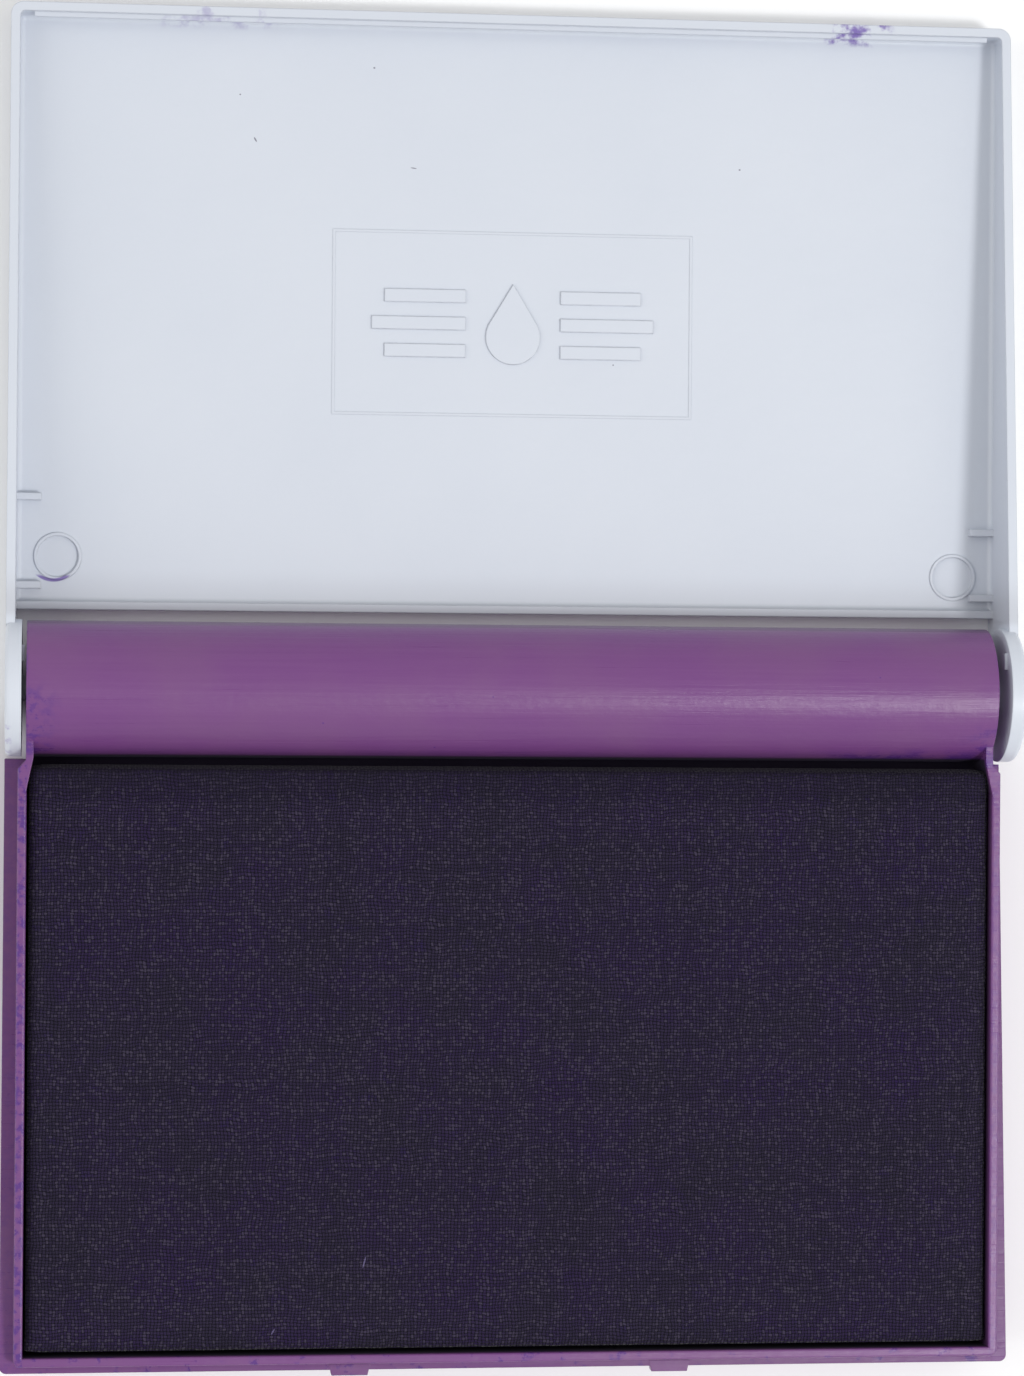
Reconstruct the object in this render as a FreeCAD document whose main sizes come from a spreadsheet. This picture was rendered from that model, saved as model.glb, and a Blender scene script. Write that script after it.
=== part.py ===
import FreeCAD, Part
import os
import Sketcher

# Stamp pad in a hinged plastic case, open flat at 180 degrees. Millimetres.
# +X is to the right along the hinge, +Y points from the pad towards the lid, and +Z is up.
# Every body is drawn about the hinge line: y = 0 on the hinge axis and z = 0 on the table.
# One shared placement then moves the bodies so that y = 0 is the middle of the open case.

SIZES = {
    # whole case
    "closed_height": 15.6,
    "base_width": 116.2,
    "base_reach": 77.5,         # hinge axis to the front of the base ledge
    "lid_side_overhang": 0.4,
    "lid_front_overhang": 1.2,
    "lid_end_play": 0.5,        # how far the lid has slid along its hinge
    # lid moulding
    "lid_plate": 1.3,
    "lid_wall": 1.05,
    "lid_front_height": 4.8,
    "lid_rear_height": 10.3,
    "lid_rear_gap": 1.4,        # barrel to the rear edge of the lid plate
    "lid_corner_radius": 1.4,
    "lid_edge_radius": 0.8,
    "lid_inner_radius": 0.6,
    "lip_thickness": 0.9,
    "lip_height": 2.4,
    "ear_thickness": 1.85,
    "ear_edge_radius": 0.6,
    "pin_radius": 1.5,
    "pin_length": 4.2,
    "nib_offset": 3.9,          # opening nib, from the hinge axis towards the lid
    "nib_width": 1.9,
    "nib_height": 1.1,
    "nib_depth": 0.35,
    "bead_depth": 0.5,
    "bead_height": 0.9,
    "bead_below_rim": 0.6,
    "bead_end_gap": 1.6,
    # small relief on the lid floor
    "ring_radius": 2.75,
    "ring_line": 0.35,
    "ring_relief": 0.2,
    "ring_well": 0.2,
    "ring_inset": 5.75,         # ring centre from the lid side
    "ring_left_reach": 15.25,
    "ring_right_reach": 13.95,
    "rib_thickness": 0.8,
    "rib_height": 1.1,
    "rib_length": 2.8,
    "rib_left_far": 22.1,
    "rib_left_near": 11.9,
    "rib_right_far": 19.25,
    "rib_right_near": 11.5,
    "panel_width": 42.4,
    "panel_depth": 21.6,
    "panel_middle": 43.0,       # hinge axis to the middle of the relief panel
    "panel_line": 0.3,
    "panel_relief": 0.06,
    "drop_radius": 3.2,
    "drop_height": 9.4,
    "emblem_relief": 0.25,
    "bar_length": 11.0,
    "bar_width": 1.5,
    "bar_pitch": 3.2,
    "bar_gap": 2.4,
    # base moulding
    "rim_headroom": 1.7,        # rim to the plate of the closed lid
    "rim_thickness": 1.0,
    "rim_edge_radius": 0.2,
    "ledge_front_step": 1.0,
    "ledge_side_step": 1.6,
    "lid_seat_gap": 0.12,
    "ear_clearance": 0.35,
    "base_corner_radius": 0.8,
    "base_foot_radius": 0.5,
    "floor_thickness": 1.3,
    "well_rear_wall": 0.1,
    "rim_corner_cut": 1.0,
    "corner_web_width": 0.75,
    "corner_web_length": 3.6,
    "skirt_wall": 1.3,
    "skirt_core_height": 3.6,
    "core_inset": 2.6,
    "stiffener": 1.1,
    "stiffener_rise": 0.6,
    "stiffener_pitch": 38.0,
    "barrel_table_gap": 0.1,
    "barrel_end_gap": 1.05,     # barrel to each ear when the lid sits midway
    "barrel_wall": 1.5,
    "barrel_slot": 8.8,
    "barrel_end_wall": 4.6,
    "barrel_rib_pitch": 34.0,
    "pin_clearance": 0.05,
    "bore_end_gap": 0.6,
    "tab_depth": 0.65,
    "tab_width": 4.1,
    "tab_height": 1.5,
    "tab_pitch": 36.9,
    "ridge_depth": 0.2,
    "ridge_height": 0.4,
    "ridge_length": 60.0,
    # ink pad stack
    "pad_recess": 0.4,          # rim to the top of the pad
    "pad_side_gap": 0.45,
    "pad_front_gap": 0.5,
    "pad_rear_gap": 1.05,
    "cloth_thickness": 0.4,
    "fold_width": 8.0,
    "card_thickness": 0.8,
    "lower_felt": 2.4,
    "upper_felt": 2.0,
    "cloth_edge_radius": 0.35,
}

# Sizes that follow from the ones above.
DERIVED = {
    "lid_width": "( base_width + 2 * lid_side_overhang )",
    "lid_reach": "( base_reach + lid_front_overhang )",
    "barrel_radius": "( closed_height / 2 - barrel_table_gap )",
    "barrel_length": "( lid_width - 2 * ear_thickness - 2 * barrel_end_gap )",
    "rim_height": "( closed_height - lid_plate - rim_headroom )",
    "pad_height": "( 2 * cloth_thickness + card_thickness + lower_felt + upper_felt )",
    "well_floor": "( rim_height - pad_recess - pad_height )",
}

SYMMETRIC = "Symmetric"
EPS = 1e-6


def make_sheet(doc):
    sheet = doc.addObject("Spreadsheet::Sheet", "Sizes")
    for row, (alias, value) in enumerate(SIZES.items(), start=1):
        sheet.set(f"A{row}", alias)
        sheet.set(f"B{row}", str(value))
        sheet.setAlias(f"B{row}", alias)
    doc.recompute()
    return sheet


def rewrite(expression, spell):
    """Spell out each size name of an expression, and each minus sign in front of one."""
    words = []
    for word in expression.split():
        negative = len(word) > 1 and word[0] == "-" and word[1].isalpha()
        name = word[1:] if negative else word
        known = name in SIZES or name in DERIVED
        words.append(("-1 * " if negative else "") + (spell(name) if known else name))
    return " ".join(words)


def size(expression):
    """A length expression over the sheet's cells."""
    return rewrite(expression, lambda name: size(DERIVED[name]) if name in DERIVED else f"Sizes.{name}")


def value(expression):
    """The number that a length expression gives with the driving sizes above."""
    def number(name):
        return str(value(DERIVED[name]) if name in DERIVED else SIZES[name])
    return FreeCAD.Units.Quantity(rewrite(expression, number)).Value


# Lengths that more than one piece uses, each written once.
AXIS_HEIGHT = "closed_height / 2"
RIM_OUTER_X = "( base_width / 2 - ledge_side_step )"
RIM_INNER_X = "( base_width / 2 - ledge_side_step - rim_thickness )"
RIM_OUTER_Y = "( base_reach - ledge_front_step )"
RIM_INNER_Y = "( base_reach - ledge_front_step - rim_thickness )"
BASE_REAR_Y = "( closed_height / 2 + ear_clearance )"
WELL_REAR_Y = "( barrel_radius + well_rear_wall )"
LID_REAR_Y = "( barrel_radius + lid_rear_gap )"
LID_INNER_X = "( lid_width / 2 - lid_wall )"
LID_INNER_Y = "( lid_reach - lid_wall )"
EAR_INNER_X = "( lid_width / 2 - ear_thickness )"
RIM_SLOPE = f"( ( lid_rear_height - lid_front_height ) / ( lid_reach - {LID_REAR_Y} ) )"
UNDERFLOOR_Z = "( well_floor - floor_thickness )"
BORE_DEPTH = "( pin_length - barrel_end_gap + lid_end_play + bore_end_gap )"


def lid_rim_at(reach):
    """Height of the open lid's sloping rim at a distance from the hinge axis."""
    return f"( lid_front_height + ( lid_reach - {reach} ) * {RIM_SLOPE} )"


def ledge_at(reach):
    """Height of the ledge that meets the closed lid's rim at a distance from the hinge axis."""
    return f"( closed_height - {lid_rim_at(reach)} - lid_seat_gap )"


LEDGE_FRONT_Z = ledge_at("base_reach")
LEDGE_REAR_Z = ledge_at(BASE_REAR_Y)


def new_body(doc, name, offset_x=None):
    body = doc.addObject("PartDesign::Body", name)
    body.Label = name
    place(body, offset_x)
    return body


def place(item, offset_x=None):
    """Move a piece from the hinge line to the middle of the open case."""
    item.setExpression("Placement.Base.y", size("( base_reach + tab_depth - lid_reach ) / 2"))
    if offset_x:
        item.setExpression("Placement.Base.x", size(offset_x))


def new_sketch(body, name, plane, offset=None):
    """An empty sketch on one of the body's origin planes, raised along the plane's normal."""
    sketch = body.newObject("Sketcher::SketchObject", name)
    support = [item for item in body.Origin.OriginFeatures if item.Role == plane][0]
    sketch.AttachmentSupport = [(support, "")]
    sketch.MapMode = "FlatFace"
    if offset:
        sketch.setExpression("AttachmentOffset.Base.z", size(offset))
    return sketch


def pin_point(sketch, element, point, name, across, along):
    """Hold one sketch point at two sheet expressions measured from the origin."""
    for kind, axis, expression in (("DistanceX", "across", across), ("DistanceY", "along", along)):
        held = getattr(sketch.getPoint(element, point), "x" if axis == "across" else "y")
        index = sketch.addConstraint(Sketcher.Constraint(kind, -1, 1, element, point, held))
        label = f"{name}_{axis}"
        sketch.renameConstraint(index, label)
        sketch.setExpression(f"Constraints.{label}", size(expression))


def add_outline(sketch, corners, name="corner"):
    """A closed straight-sided outline through corners given as expression pairs."""
    points = [FreeCAD.Vector(value(across), value(along), 0) for across, along in corners]
    count = len(points)
    first = sketch.GeometryCount
    for index in range(count):
        sketch.addGeometry(Part.LineSegment(points[index], points[(index + 1) % count]))
    for index in range(count):
        following = first + (index + 1) % count
        sketch.addConstraint(Sketcher.Constraint("Coincident", first + index, 2, following, 1))
    for index, (across, along) in enumerate(corners):
        pin_point(sketch, first + index, 1, f"{name}{index}", across, along)


def add_rectangle(sketch, left, right, low, high, name="corner"):
    add_outline(sketch, [(left, low), (right, low), (right, high), (left, high)], name)


def add_circle(sketch, across, along, radius, name="circle"):
    centre = FreeCAD.Vector(value(across), value(along), 0)
    index = sketch.addGeometry(Part.Circle(centre, FreeCAD.Vector(0, 0, 1), value(radius)))
    pin_point(sketch, index, 3, name, across, along)
    constraint = sketch.addConstraint(Sketcher.Constraint("Radius", index, value(radius)))
    sketch.renameConstraint(constraint, f"{name}_radius")
    sketch.setExpression(f"Constraints.{name}_radius", size(radius))


def pad(body, name, sketch, length, side_type=None, reverse=False):
    """Add material over a sketch; the length is a size expression."""
    feature = body.newObject("PartDesign::Pad", name)
    feature.Profile = sketch
    if side_type:
        feature.SideType = side_type
    feature.Reversed = reverse
    feature.setExpression("Length", size(length))
    recompute_and_check(body, feature, grows=True)
    return feature


def pocket(body, name, sketch, length, side_type=None, reverse=False):
    """Remove material over a sketch; the cut has to take something away."""
    feature = body.newObject("PartDesign::Pocket", name)
    feature.Profile = sketch
    if side_type:
        feature.SideType = side_type
    feature.Reversed = reverse
    feature.setExpression("Length", size(length))
    recompute_and_check(body, feature, grows=False)
    return feature


def recompute_and_check(body, feature, grows):
    before = feature.BaseFeature.Shape.Volume if feature.BaseFeature else 0.0
    body.Document.recompute()
    change = feature.Shape.Volume - before
    if (change < EPS) if grows else (change > -EPS):
        raise RuntimeError(f"{feature.Name} changed the volume by {change:.4f}")


def round_edges(body, name, radius, chosen):
    """Fillet the edges of the body's tip that a test picks."""
    tip = body.Tip
    edges = [f"Edge{number}" for number, edge in enumerate(tip.Shape.Edges, start=1) if chosen(edge)]
    if not edges:
        raise RuntimeError(f"{name} found no edge")
    fillet = body.newObject("PartDesign::Fillet", name)
    fillet.Base = (tip, edges)
    fillet.setExpression("Radius", size(radius))
    body.Document.recompute()
    if not fillet.isValid():
        raise RuntimeError(f"{name} failed on {len(edges)} edges")
    return fillet


def is_upright(edge):
    box = edge.BoundBox
    return box.XLength < EPS and box.YLength < EPS and box.ZLength > 1.0


def lies_at(edge, axis, place_value):
    low = getattr(edge.BoundBox, f"{axis}Min")
    high = getattr(edge.BoundBox, f"{axis}Max")
    return abs(low - place_value) < 1e-4 and abs(high - place_value) < 1e-4


def make_base(doc):
    body = new_body(doc, "base_tray")

    # The outer skirt carries the sloping ledge that the lid rests on.
    profile = new_sketch(body, "skirt_profile", "YZ_Plane")
    skirt_rear = f"-1 * {BASE_REAR_Y}"
    add_outline(profile, [(skirt_rear, "0"), (skirt_rear, LEDGE_REAR_Z),
                          ("-base_reach", LEDGE_FRONT_Z), ("-base_reach", "0")])
    pad(body, "skirt", profile, "base_width", SYMMETRIC)
    front = -value("base_reach")
    rear = -value(BASE_REAR_Y)
    round_edges(body, "skirt_corners", "base_corner_radius",
                lambda edge: is_upright(edge) and lies_at(edge, "Y", front))
    round_edges(body, "skirt_foot", "base_foot_radius",
                lambda edge: lies_at(edge, "Z", 0.0) and not lies_at(edge, "Y", rear))

    # The upright rim stands inside the ledge and holds the pad. It stops at the barrel's two ends,
    # so that the barrel itself is the rear wall of the well.
    outline = new_sketch(body, "rim_outline", "XY_Plane", UNDERFLOOR_Z)
    rim_left = f"-1 * {RIM_OUTER_X}"
    cut_start = f"{skirt_rear} - rim_corner_cut"
    post = f"( {RIM_INNER_X} - corner_web_width )"
    add_outline(outline, [(rim_left, f"-1 * {RIM_OUTER_Y}"), (RIM_OUTER_X, f"-1 * {RIM_OUTER_Y}"),
                          (RIM_OUTER_X, cut_start), ("barrel_length / 2", skirt_rear),
                          ("barrel_length / 2", "0"), (post, "0"), (post, skirt_rear),
                          (f"-1 * {post}", skirt_rear), (f"-1 * {post}", "0"), ("-barrel_length / 2", "0"),
                          ("-barrel_length / 2", skirt_rear), (rim_left, cut_start)])
    pad(body, "rim", outline, f"rim_height - {UNDERFLOOR_Z}")
    rim_front = -value(RIM_OUTER_Y)
    round_edges(body, "rim_corners", "base_corner_radius",
                lambda edge: is_upright(edge) and lies_at(edge, "Y", rim_front))

    # A neck joins the skirt to the hinge barrel between the lid's ears.
    neck = new_sketch(body, "neck_outline", "XY_Plane", "closed_height / 2 - barrel_radius")
    add_rectangle(neck, "-barrel_length / 2", "barrel_length / 2", f"{skirt_rear} - floor_thickness", "0")
    pad(body, "neck", neck, "barrel_radius")

    barrel = new_sketch(body, "barrel_circle", "YZ_Plane")
    add_circle(barrel, "0", AXIS_HEIGHT, "barrel_radius")
    pad(body, "barrel", barrel, "barrel_length", SYMMETRIC)

    # The well for the pad, with its rear corners drawn in to meet the barrel.
    well = new_sketch(body, "well_outline", "XY_Plane", "well_floor")
    web_start = f"-1 * {WELL_REAR_Y} - corner_web_length"
    add_outline(well, [(f"-1 * {RIM_INNER_X}", f"-1 * {RIM_INNER_Y}"), (RIM_INNER_X, f"-1 * {RIM_INNER_Y}"),
                       (RIM_INNER_X, web_start), (post, f"-1 * {WELL_REAR_Y}"),
                       (f"-1 * {post}", f"-1 * {WELL_REAR_Y}"), (f"-1 * {RIM_INNER_X}", web_start)])
    pocket(body, "well", well, "closed_height", reverse=True)

    # The rim's long top edges are softened.
    rim_top = value("rim_height")
    long_side = value("base_reach") / 2
    round_edges(body, "rim_top_edges", "rim_edge_radius",
                lambda edge: lies_at(edge, "Z", rim_top) and edge.Length > long_side)

    # Underside: a shallow wide core, a deeper core below the floor, then stiffening ribs.
    wide = new_sketch(body, "skirt_core_outline", "XY_Plane")
    side = "( base_width / 2 - skirt_wall )"
    add_rectangle(wide, f"-1 * {side}", side, "-base_reach + skirt_wall",
                  f"-1 * {BASE_REAR_Y} - skirt_wall")
    pocket(body, "skirt_core", wide, "skirt_core_height", reverse=True)
    deep = new_sketch(body, "floor_core_outline", "XY_Plane")
    side = "( base_width / 2 - core_inset )"
    add_rectangle(deep, f"-1 * {side}", side, "-base_reach + core_inset", f"-1 * {BASE_REAR_Y} - core_inset")
    pocket(body, "floor_core", deep, UNDERFLOOR_Z, reverse=True)

    ribs = new_sketch(body, "stiffener_outline", "XY_Plane", "stiffener_rise")
    for index, middle in enumerate(("-stiffener_pitch / 2", "stiffener_pitch / 2")):
        add_rectangle(ribs, f"{middle} - stiffener / 2", f"{middle} + stiffener / 2",
                      "-base_reach + skirt_wall", f"-1 * {BASE_REAR_Y} - skirt_wall", f"rib{index}_")
    pad(body, "stiffeners", ribs, f"{UNDERFLOOR_Z} - stiffener_rise")
    beam = new_sketch(body, "cross_rib_outline", "XY_Plane", "stiffener_rise")
    middle = f"-1 * ( base_reach + {BASE_REAR_Y} ) / 2"
    add_rectangle(beam, "-base_width / 2 + skirt_wall", "base_width / 2 - skirt_wall",
                  f"{middle} - stiffener / 2", f"{middle} + stiffener / 2")
    pad(body, "cross_rib", beam, f"{UNDERFLOOR_Z} - stiffener_rise")

    # The barrel is cored from below, leaving solid ends and two cross webs.
    slot = new_sketch(body, "barrel_core_outline", "XY_Plane")
    inner_end = "( barrel_length / 2 - barrel_end_wall )"
    webs = ["-barrel_rib_pitch / 2", "barrel_rib_pitch / 2"]
    starts = [f"-1 * {inner_end}"] + [f"{web} + stiffener / 2" for web in webs]
    ends = [f"{web} - stiffener / 2" for web in webs] + [inner_end]
    for index, (start, end) in enumerate(zip(starts, ends)):
        add_rectangle(slot, start, end, "-barrel_slot / 2", "barrel_slot / 2", f"slot{index}_")
    core_rise = "closed_height / 2 + sqrt( ( barrel_radius - barrel_wall ) ^ 2 - ( barrel_slot / 2 ) ^ 2 )"
    pocket(body, "barrel_core", slot, core_rise, reverse=True)

    # Blind bores in the barrel ends take the lid's hinge pins.
    for side_name, sign in (("left", "-1 *"), ("right", "1 *")):
        bore = new_sketch(body, f"{side_name}_bore_circle", "YZ_Plane", f"{sign} barrel_length / 2")
        add_circle(bore, "0", AXIS_HEIGHT, "pin_radius + pin_clearance")
        pocket(body, f"{side_name}_bore", bore, BORE_DEPTH, reverse=side_name == "left")

    # Two lid rests stand out of the front at ledge height, and a low ridge takes the lid's bead.
    tabs = new_sketch(body, "tab_outline", "XY_Plane", f"{LEDGE_FRONT_Z} - tab_height")
    for index, middle in enumerate(("-tab_pitch / 2", "tab_pitch / 2")):
        add_outline(tabs, [(f"{middle} - tab_width / 2", "-base_reach - tab_depth"),
                           (f"{middle} + tab_width / 2", "-base_reach - tab_depth"),
                           (f"{middle} + tab_width / 2 + tab_depth / 2", "-base_reach + skirt_wall / 2"),
                           (f"{middle} - tab_width / 2 - tab_depth / 2", "-base_reach + skirt_wall / 2")],
                    f"tab{index}_")
    pad(body, "tabs", tabs, "tab_height")
    ridge = new_sketch(body, "ridge_profile", "YZ_Plane")
    add_outline(ridge, [(f"-1 * {RIM_OUTER_Y} + ridge_depth", LEDGE_FRONT_Z),
                        (f"-1 * {RIM_OUTER_Y} - ridge_depth", LEDGE_FRONT_Z),
                        (f"-1 * {RIM_OUTER_Y} - ridge_depth", f"{LEDGE_FRONT_Z} + ridge_height / 2"),
                        (f"-1 * {RIM_OUTER_Y} + ridge_depth", f"{LEDGE_FRONT_Z} + ridge_height")])
    pad(body, "snap_ridge", ridge, "ridge_length", SYMMETRIC)
    return body


def make_lid(doc):
    body = new_body(doc, "lid", "lid_end_play")

    profile = new_sketch(body, "lid_profile", "YZ_Plane")
    add_outline(profile, [(LID_REAR_Y, "0"), ("lid_reach", "0"), ("lid_reach", "lid_front_height"),
                          (LID_REAR_Y, "lid_rear_height")])
    pad(body, "lid_block", profile, "lid_width", SYMMETRIC)
    front = value("lid_reach")
    rear = value(LID_REAR_Y)
    round_edges(body, "lid_corners", "lid_corner_radius",
                lambda edge: is_upright(edge) and lies_at(edge, "Y", front))
    round_edges(body, "lid_top_edge", "lid_edge_radius",
                lambda edge: lies_at(edge, "Z", 0.0) and not lies_at(edge, "Y", rear))

    inside = new_sketch(body, "lid_inside_outline", "XY_Plane", "lid_plate")
    add_rectangle(inside, f"-1 * {LID_INNER_X}", LID_INNER_X, f"{LID_REAR_Y} + lip_thickness", LID_INNER_Y)
    pocket(body, "lid_inside", inside, "closed_height", reverse=True)
    plate = value("lid_plate")
    inner_x = value(LID_INNER_X) + EPS
    inner_y = value(LID_INNER_Y)

    def is_inside_edge(edge):
        box = edge.BoundBox
        if max(-box.XMin, box.XMax) > inner_x or box.YMax > inner_y + EPS or box.YMin < rear + EPS:
            return False
        return lies_at(edge, "Z", plate) or (is_upright(edge) and lies_at(edge, "Y", inner_y))

    round_edges(body, "lid_inside_edges", "lid_inner_radius", is_inside_edge)
    lip = new_sketch(body, "lip_outline", "XY_Plane", "lip_height")
    add_rectangle(lip, f"-1 * {LID_INNER_X}", LID_INNER_X, f"{LID_REAR_Y} - lip_thickness",
                  f"{LID_REAR_Y} + lip_thickness")
    pocket(body, "lip_top", lip, "closed_height", reverse=True)

    # Ears: each side wall carries on to a thicker disc about the hinge axis.
    web_end = f"( {LID_REAR_Y} + lid_wall )"
    for side_name, sign, flip in (("left", "-1 *", True), ("right", "1 *", False)):
        web = new_sketch(body, f"{side_name}_web_profile", "YZ_Plane", f"{sign} {LID_INNER_X}")
        add_outline(web, [("0", "0"), (web_end, "0"), (web_end, lid_rim_at(web_end)), ("0", lid_rim_at("0"))])
        pad(body, f"{side_name}_web", web, "lid_wall", reverse=flip)
        disc = new_sketch(body, f"{side_name}_disc_circle", "YZ_Plane", f"{sign} {EAR_INNER_X}")
        add_circle(disc, "0", AXIS_HEIGHT, "closed_height / 2")
        pad(body, f"{side_name}_disc", disc, "ear_thickness", reverse=flip)
        pin = new_sketch(body, f"{side_name}_pin_circle", "YZ_Plane", f"{sign} {EAR_INNER_X}")
        add_circle(pin, "0", AXIS_HEIGHT, "pin_radius")
        pad(body, f"{side_name}_pin", pin, "pin_length", reverse=not flip)
        nib = new_sketch(body, f"{side_name}_nib_outline", "YZ_Plane", f"{sign} {EAR_INNER_X}")
        nib_top = "( closed_height / 2 + closed_height / 3 )"
        add_outline(nib, [("nib_offset - nib_width / 2", f"{nib_top} - nib_height"),
                          ("nib_offset + nib_width / 2", f"{nib_top} - nib_height"),
                          ("nib_offset + nib_width / 2", nib_top), ("nib_offset - nib_width / 2", nib_top)])
        pad(body, f"{side_name}_nib", nib, "nib_depth", reverse=not flip)
    half = value("lid_width") / 2
    round_edges(body, "ear_edges", "ear_edge_radius",
                lambda edge: (lies_at(edge, "X", half) or lies_at(edge, "X", -half))
                and edge.Curve.TypeId == "Part::GeomCircle" and edge.Curve.Radius > value("barrel_radius"))

    # The snap bead runs along the inside of the front wall.
    bead = new_sketch(body, "bead_profile", "YZ_Plane")
    bead_top = "( lid_front_height - bead_below_rim )"
    add_outline(bead, [(f"{LID_INNER_Y} + lid_wall / 2", f"{bead_top} - bead_height"),
                       (LID_INNER_Y, f"{bead_top} - bead_height"),
                       (f"{LID_INNER_Y} - bead_depth", f"{bead_top} - bead_height * 2 / 3"),
                       (f"{LID_INNER_Y} - bead_depth", f"{bead_top} - bead_height / 3"),
                       (LID_INNER_Y, bead_top), (f"{LID_INNER_Y} + lid_wall / 2", bead_top)])
    pad(body, "snap_bead", bead, "lid_width - 2 * lid_wall - 2 * bead_end_gap", SYMMETRIC)

    make_floor_relief(body)
    return body


def make_floor_relief(body):
    """Corner ribs, ejector rings and a plain raised ornament on the lid floor."""
    ribs = new_sketch(body, "corner_rib_outline", "XY_Plane", "lid_plate / 2")
    outer = f"{LID_INNER_X} + lid_wall / 2"
    inner = f"{LID_INNER_X} - rib_length"
    for name, sign in (("left", "-1 *"), ("right", "1 *")):
        for where in ("far", "near"):
            middle = f"rib_{name}_{where}"
            low = f"{middle} - rib_thickness / 2"
            high = f"{middle} + rib_thickness / 2"
            add_rectangle(ribs, f"{sign} ( {inner} )", f"{sign} ( {outer} )", low, high, f"{name}_{where}_")
    pad(body, "corner_ribs", ribs, "lid_plate / 2 + rib_height")

    rings = new_sketch(body, "ring_circles", "XY_Plane", "lid_plate / 2")
    wells = new_sketch(body, "ring_well_circles", "XY_Plane", "lid_plate - ring_well")
    for name, sign in (("left", "-1 *"), ("right", "1 *")):
        middle = f"{sign} ( lid_width / 2 - ring_inset )"
        add_circle(rings, middle, f"ring_{name}_reach", "ring_radius", f"{name}_outer")
        add_circle(wells, middle, f"ring_{name}_reach", "ring_radius - ring_line", f"{name}_well")
    pad(body, "ejector_rings", rings, "lid_plate / 2 + ring_relief")
    pocket(body, "ejector_wells", wells, "lid_plate", reverse=True)

    # A faint frame line with a plain drop between rows of bars.
    frame = new_sketch(body, "panel_outline", "XY_Plane", "lid_plate / 2")
    for index, inset in enumerate(("0", "panel_line")):
        add_rectangle(frame, f"-panel_width / 2 + {inset}", f"panel_width / 2 - {inset}",
                      f"panel_middle - panel_depth / 2 + {inset}",
                      f"panel_middle + panel_depth / 2 - {inset}", f"line{index}_")
    pad(body, "panel_frame", frame, "lid_plate / 2 + panel_relief")
    add_drop(body)
    bars = new_sketch(body, "bar_outline", "XY_Plane", "lid_plate / 2")
    start = "( drop_radius + bar_gap )"
    for row in (-1, 0, 1):
        for name, sign in (("left", "-1 *"), ("right", "1 *")):
            length = f"bar_length - {abs(row)} * bar_width"
            add_rectangle(bars, f"{sign} {start}", f"{sign} ( {start} + {length} )",
                          f"panel_middle + {row} * bar_pitch - bar_width / 2",
                          f"panel_middle + {row} * bar_pitch + bar_width / 2", f"bar_{name}{row + 1}_")
    pad(body, "ornament_bars", bars, "lid_plate / 2 + emblem_relief")


def add_drop(body):
    """A drop outline: a circle's lower part closed by its two tangents from a point above."""
    sketch = new_sketch(body, "drop_outline", "XY_Plane", "lid_plate / 2")
    radius = value("drop_radius")
    rise = value("drop_height - drop_radius")
    centre = value("panel_middle") - value("drop_height") / 2 + radius
    lift = radius * radius / rise
    reach = radius * (1 - (radius / rise) ** 2) ** 0.5
    tip = FreeCAD.Vector(0, centre + rise, 0)
    left = FreeCAD.Vector(-reach, centre + lift, 0)
    right = FreeCAD.Vector(reach, centre + lift, 0)
    low = FreeCAD.Vector(0, centre - radius, 0)
    arc = sketch.addGeometry(Part.Arc(left, low, right))
    side_in = sketch.addGeometry(Part.LineSegment(right, tip))
    side_out = sketch.addGeometry(Part.LineSegment(tip, left))
    sketch.addConstraint(Sketcher.Constraint("Tangent", arc, 2, side_in, 1))
    sketch.addConstraint(Sketcher.Constraint("Coincident", side_in, 2, side_out, 1))
    sketch.addConstraint(Sketcher.Constraint("Tangent", side_out, 2, arc, 1))
    pin_point(sketch, arc, 3, "round", "0", "panel_middle - drop_height / 2 + drop_radius")
    pin_point(sketch, side_in, 2, "tip", "0", "panel_middle + drop_height / 2")
    constraint = sketch.addConstraint(Sketcher.Constraint("Radius", arc, radius))
    sketch.renameConstraint(constraint, "round_radius")
    sketch.setExpression("Constraints.round_radius", size("drop_radius"))
    pad(body, "ornament_drop", sketch, "lid_plate / 2 + emblem_relief")


PAD_WIDTH = f"( 2 * {RIM_INNER_X} - 2 * pad_side_gap )"
PAD_FRONT_Y = f"( {RIM_INNER_Y} - pad_front_gap )"
PAD_REAR_Y = f"( {WELL_REAR_Y} + pad_rear_gap )"


def make_block(doc, name, inset, low, rise):
    """A plain layer of the pad stack, inset from the cloth's outer faces."""
    block = doc.addObject("Part::Box", name)
    block.setExpression("Length", size(f"{PAD_WIDTH} - 2 * {inset}"))
    block.setExpression("Width", size(f"{PAD_FRONT_Y} - {PAD_REAR_Y} - 2 * {inset}"))
    block.setExpression("Height", size(rise))
    block.setExpression("Placement.Base.x", size(f"-1 * {PAD_WIDTH} / 2 + {inset}"))
    block.setExpression("Placement.Base.y", size(f"-1 * {PAD_FRONT_Y} + {inset}"))
    block.setExpression("Placement.Base.z", size(low))
    return block


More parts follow.
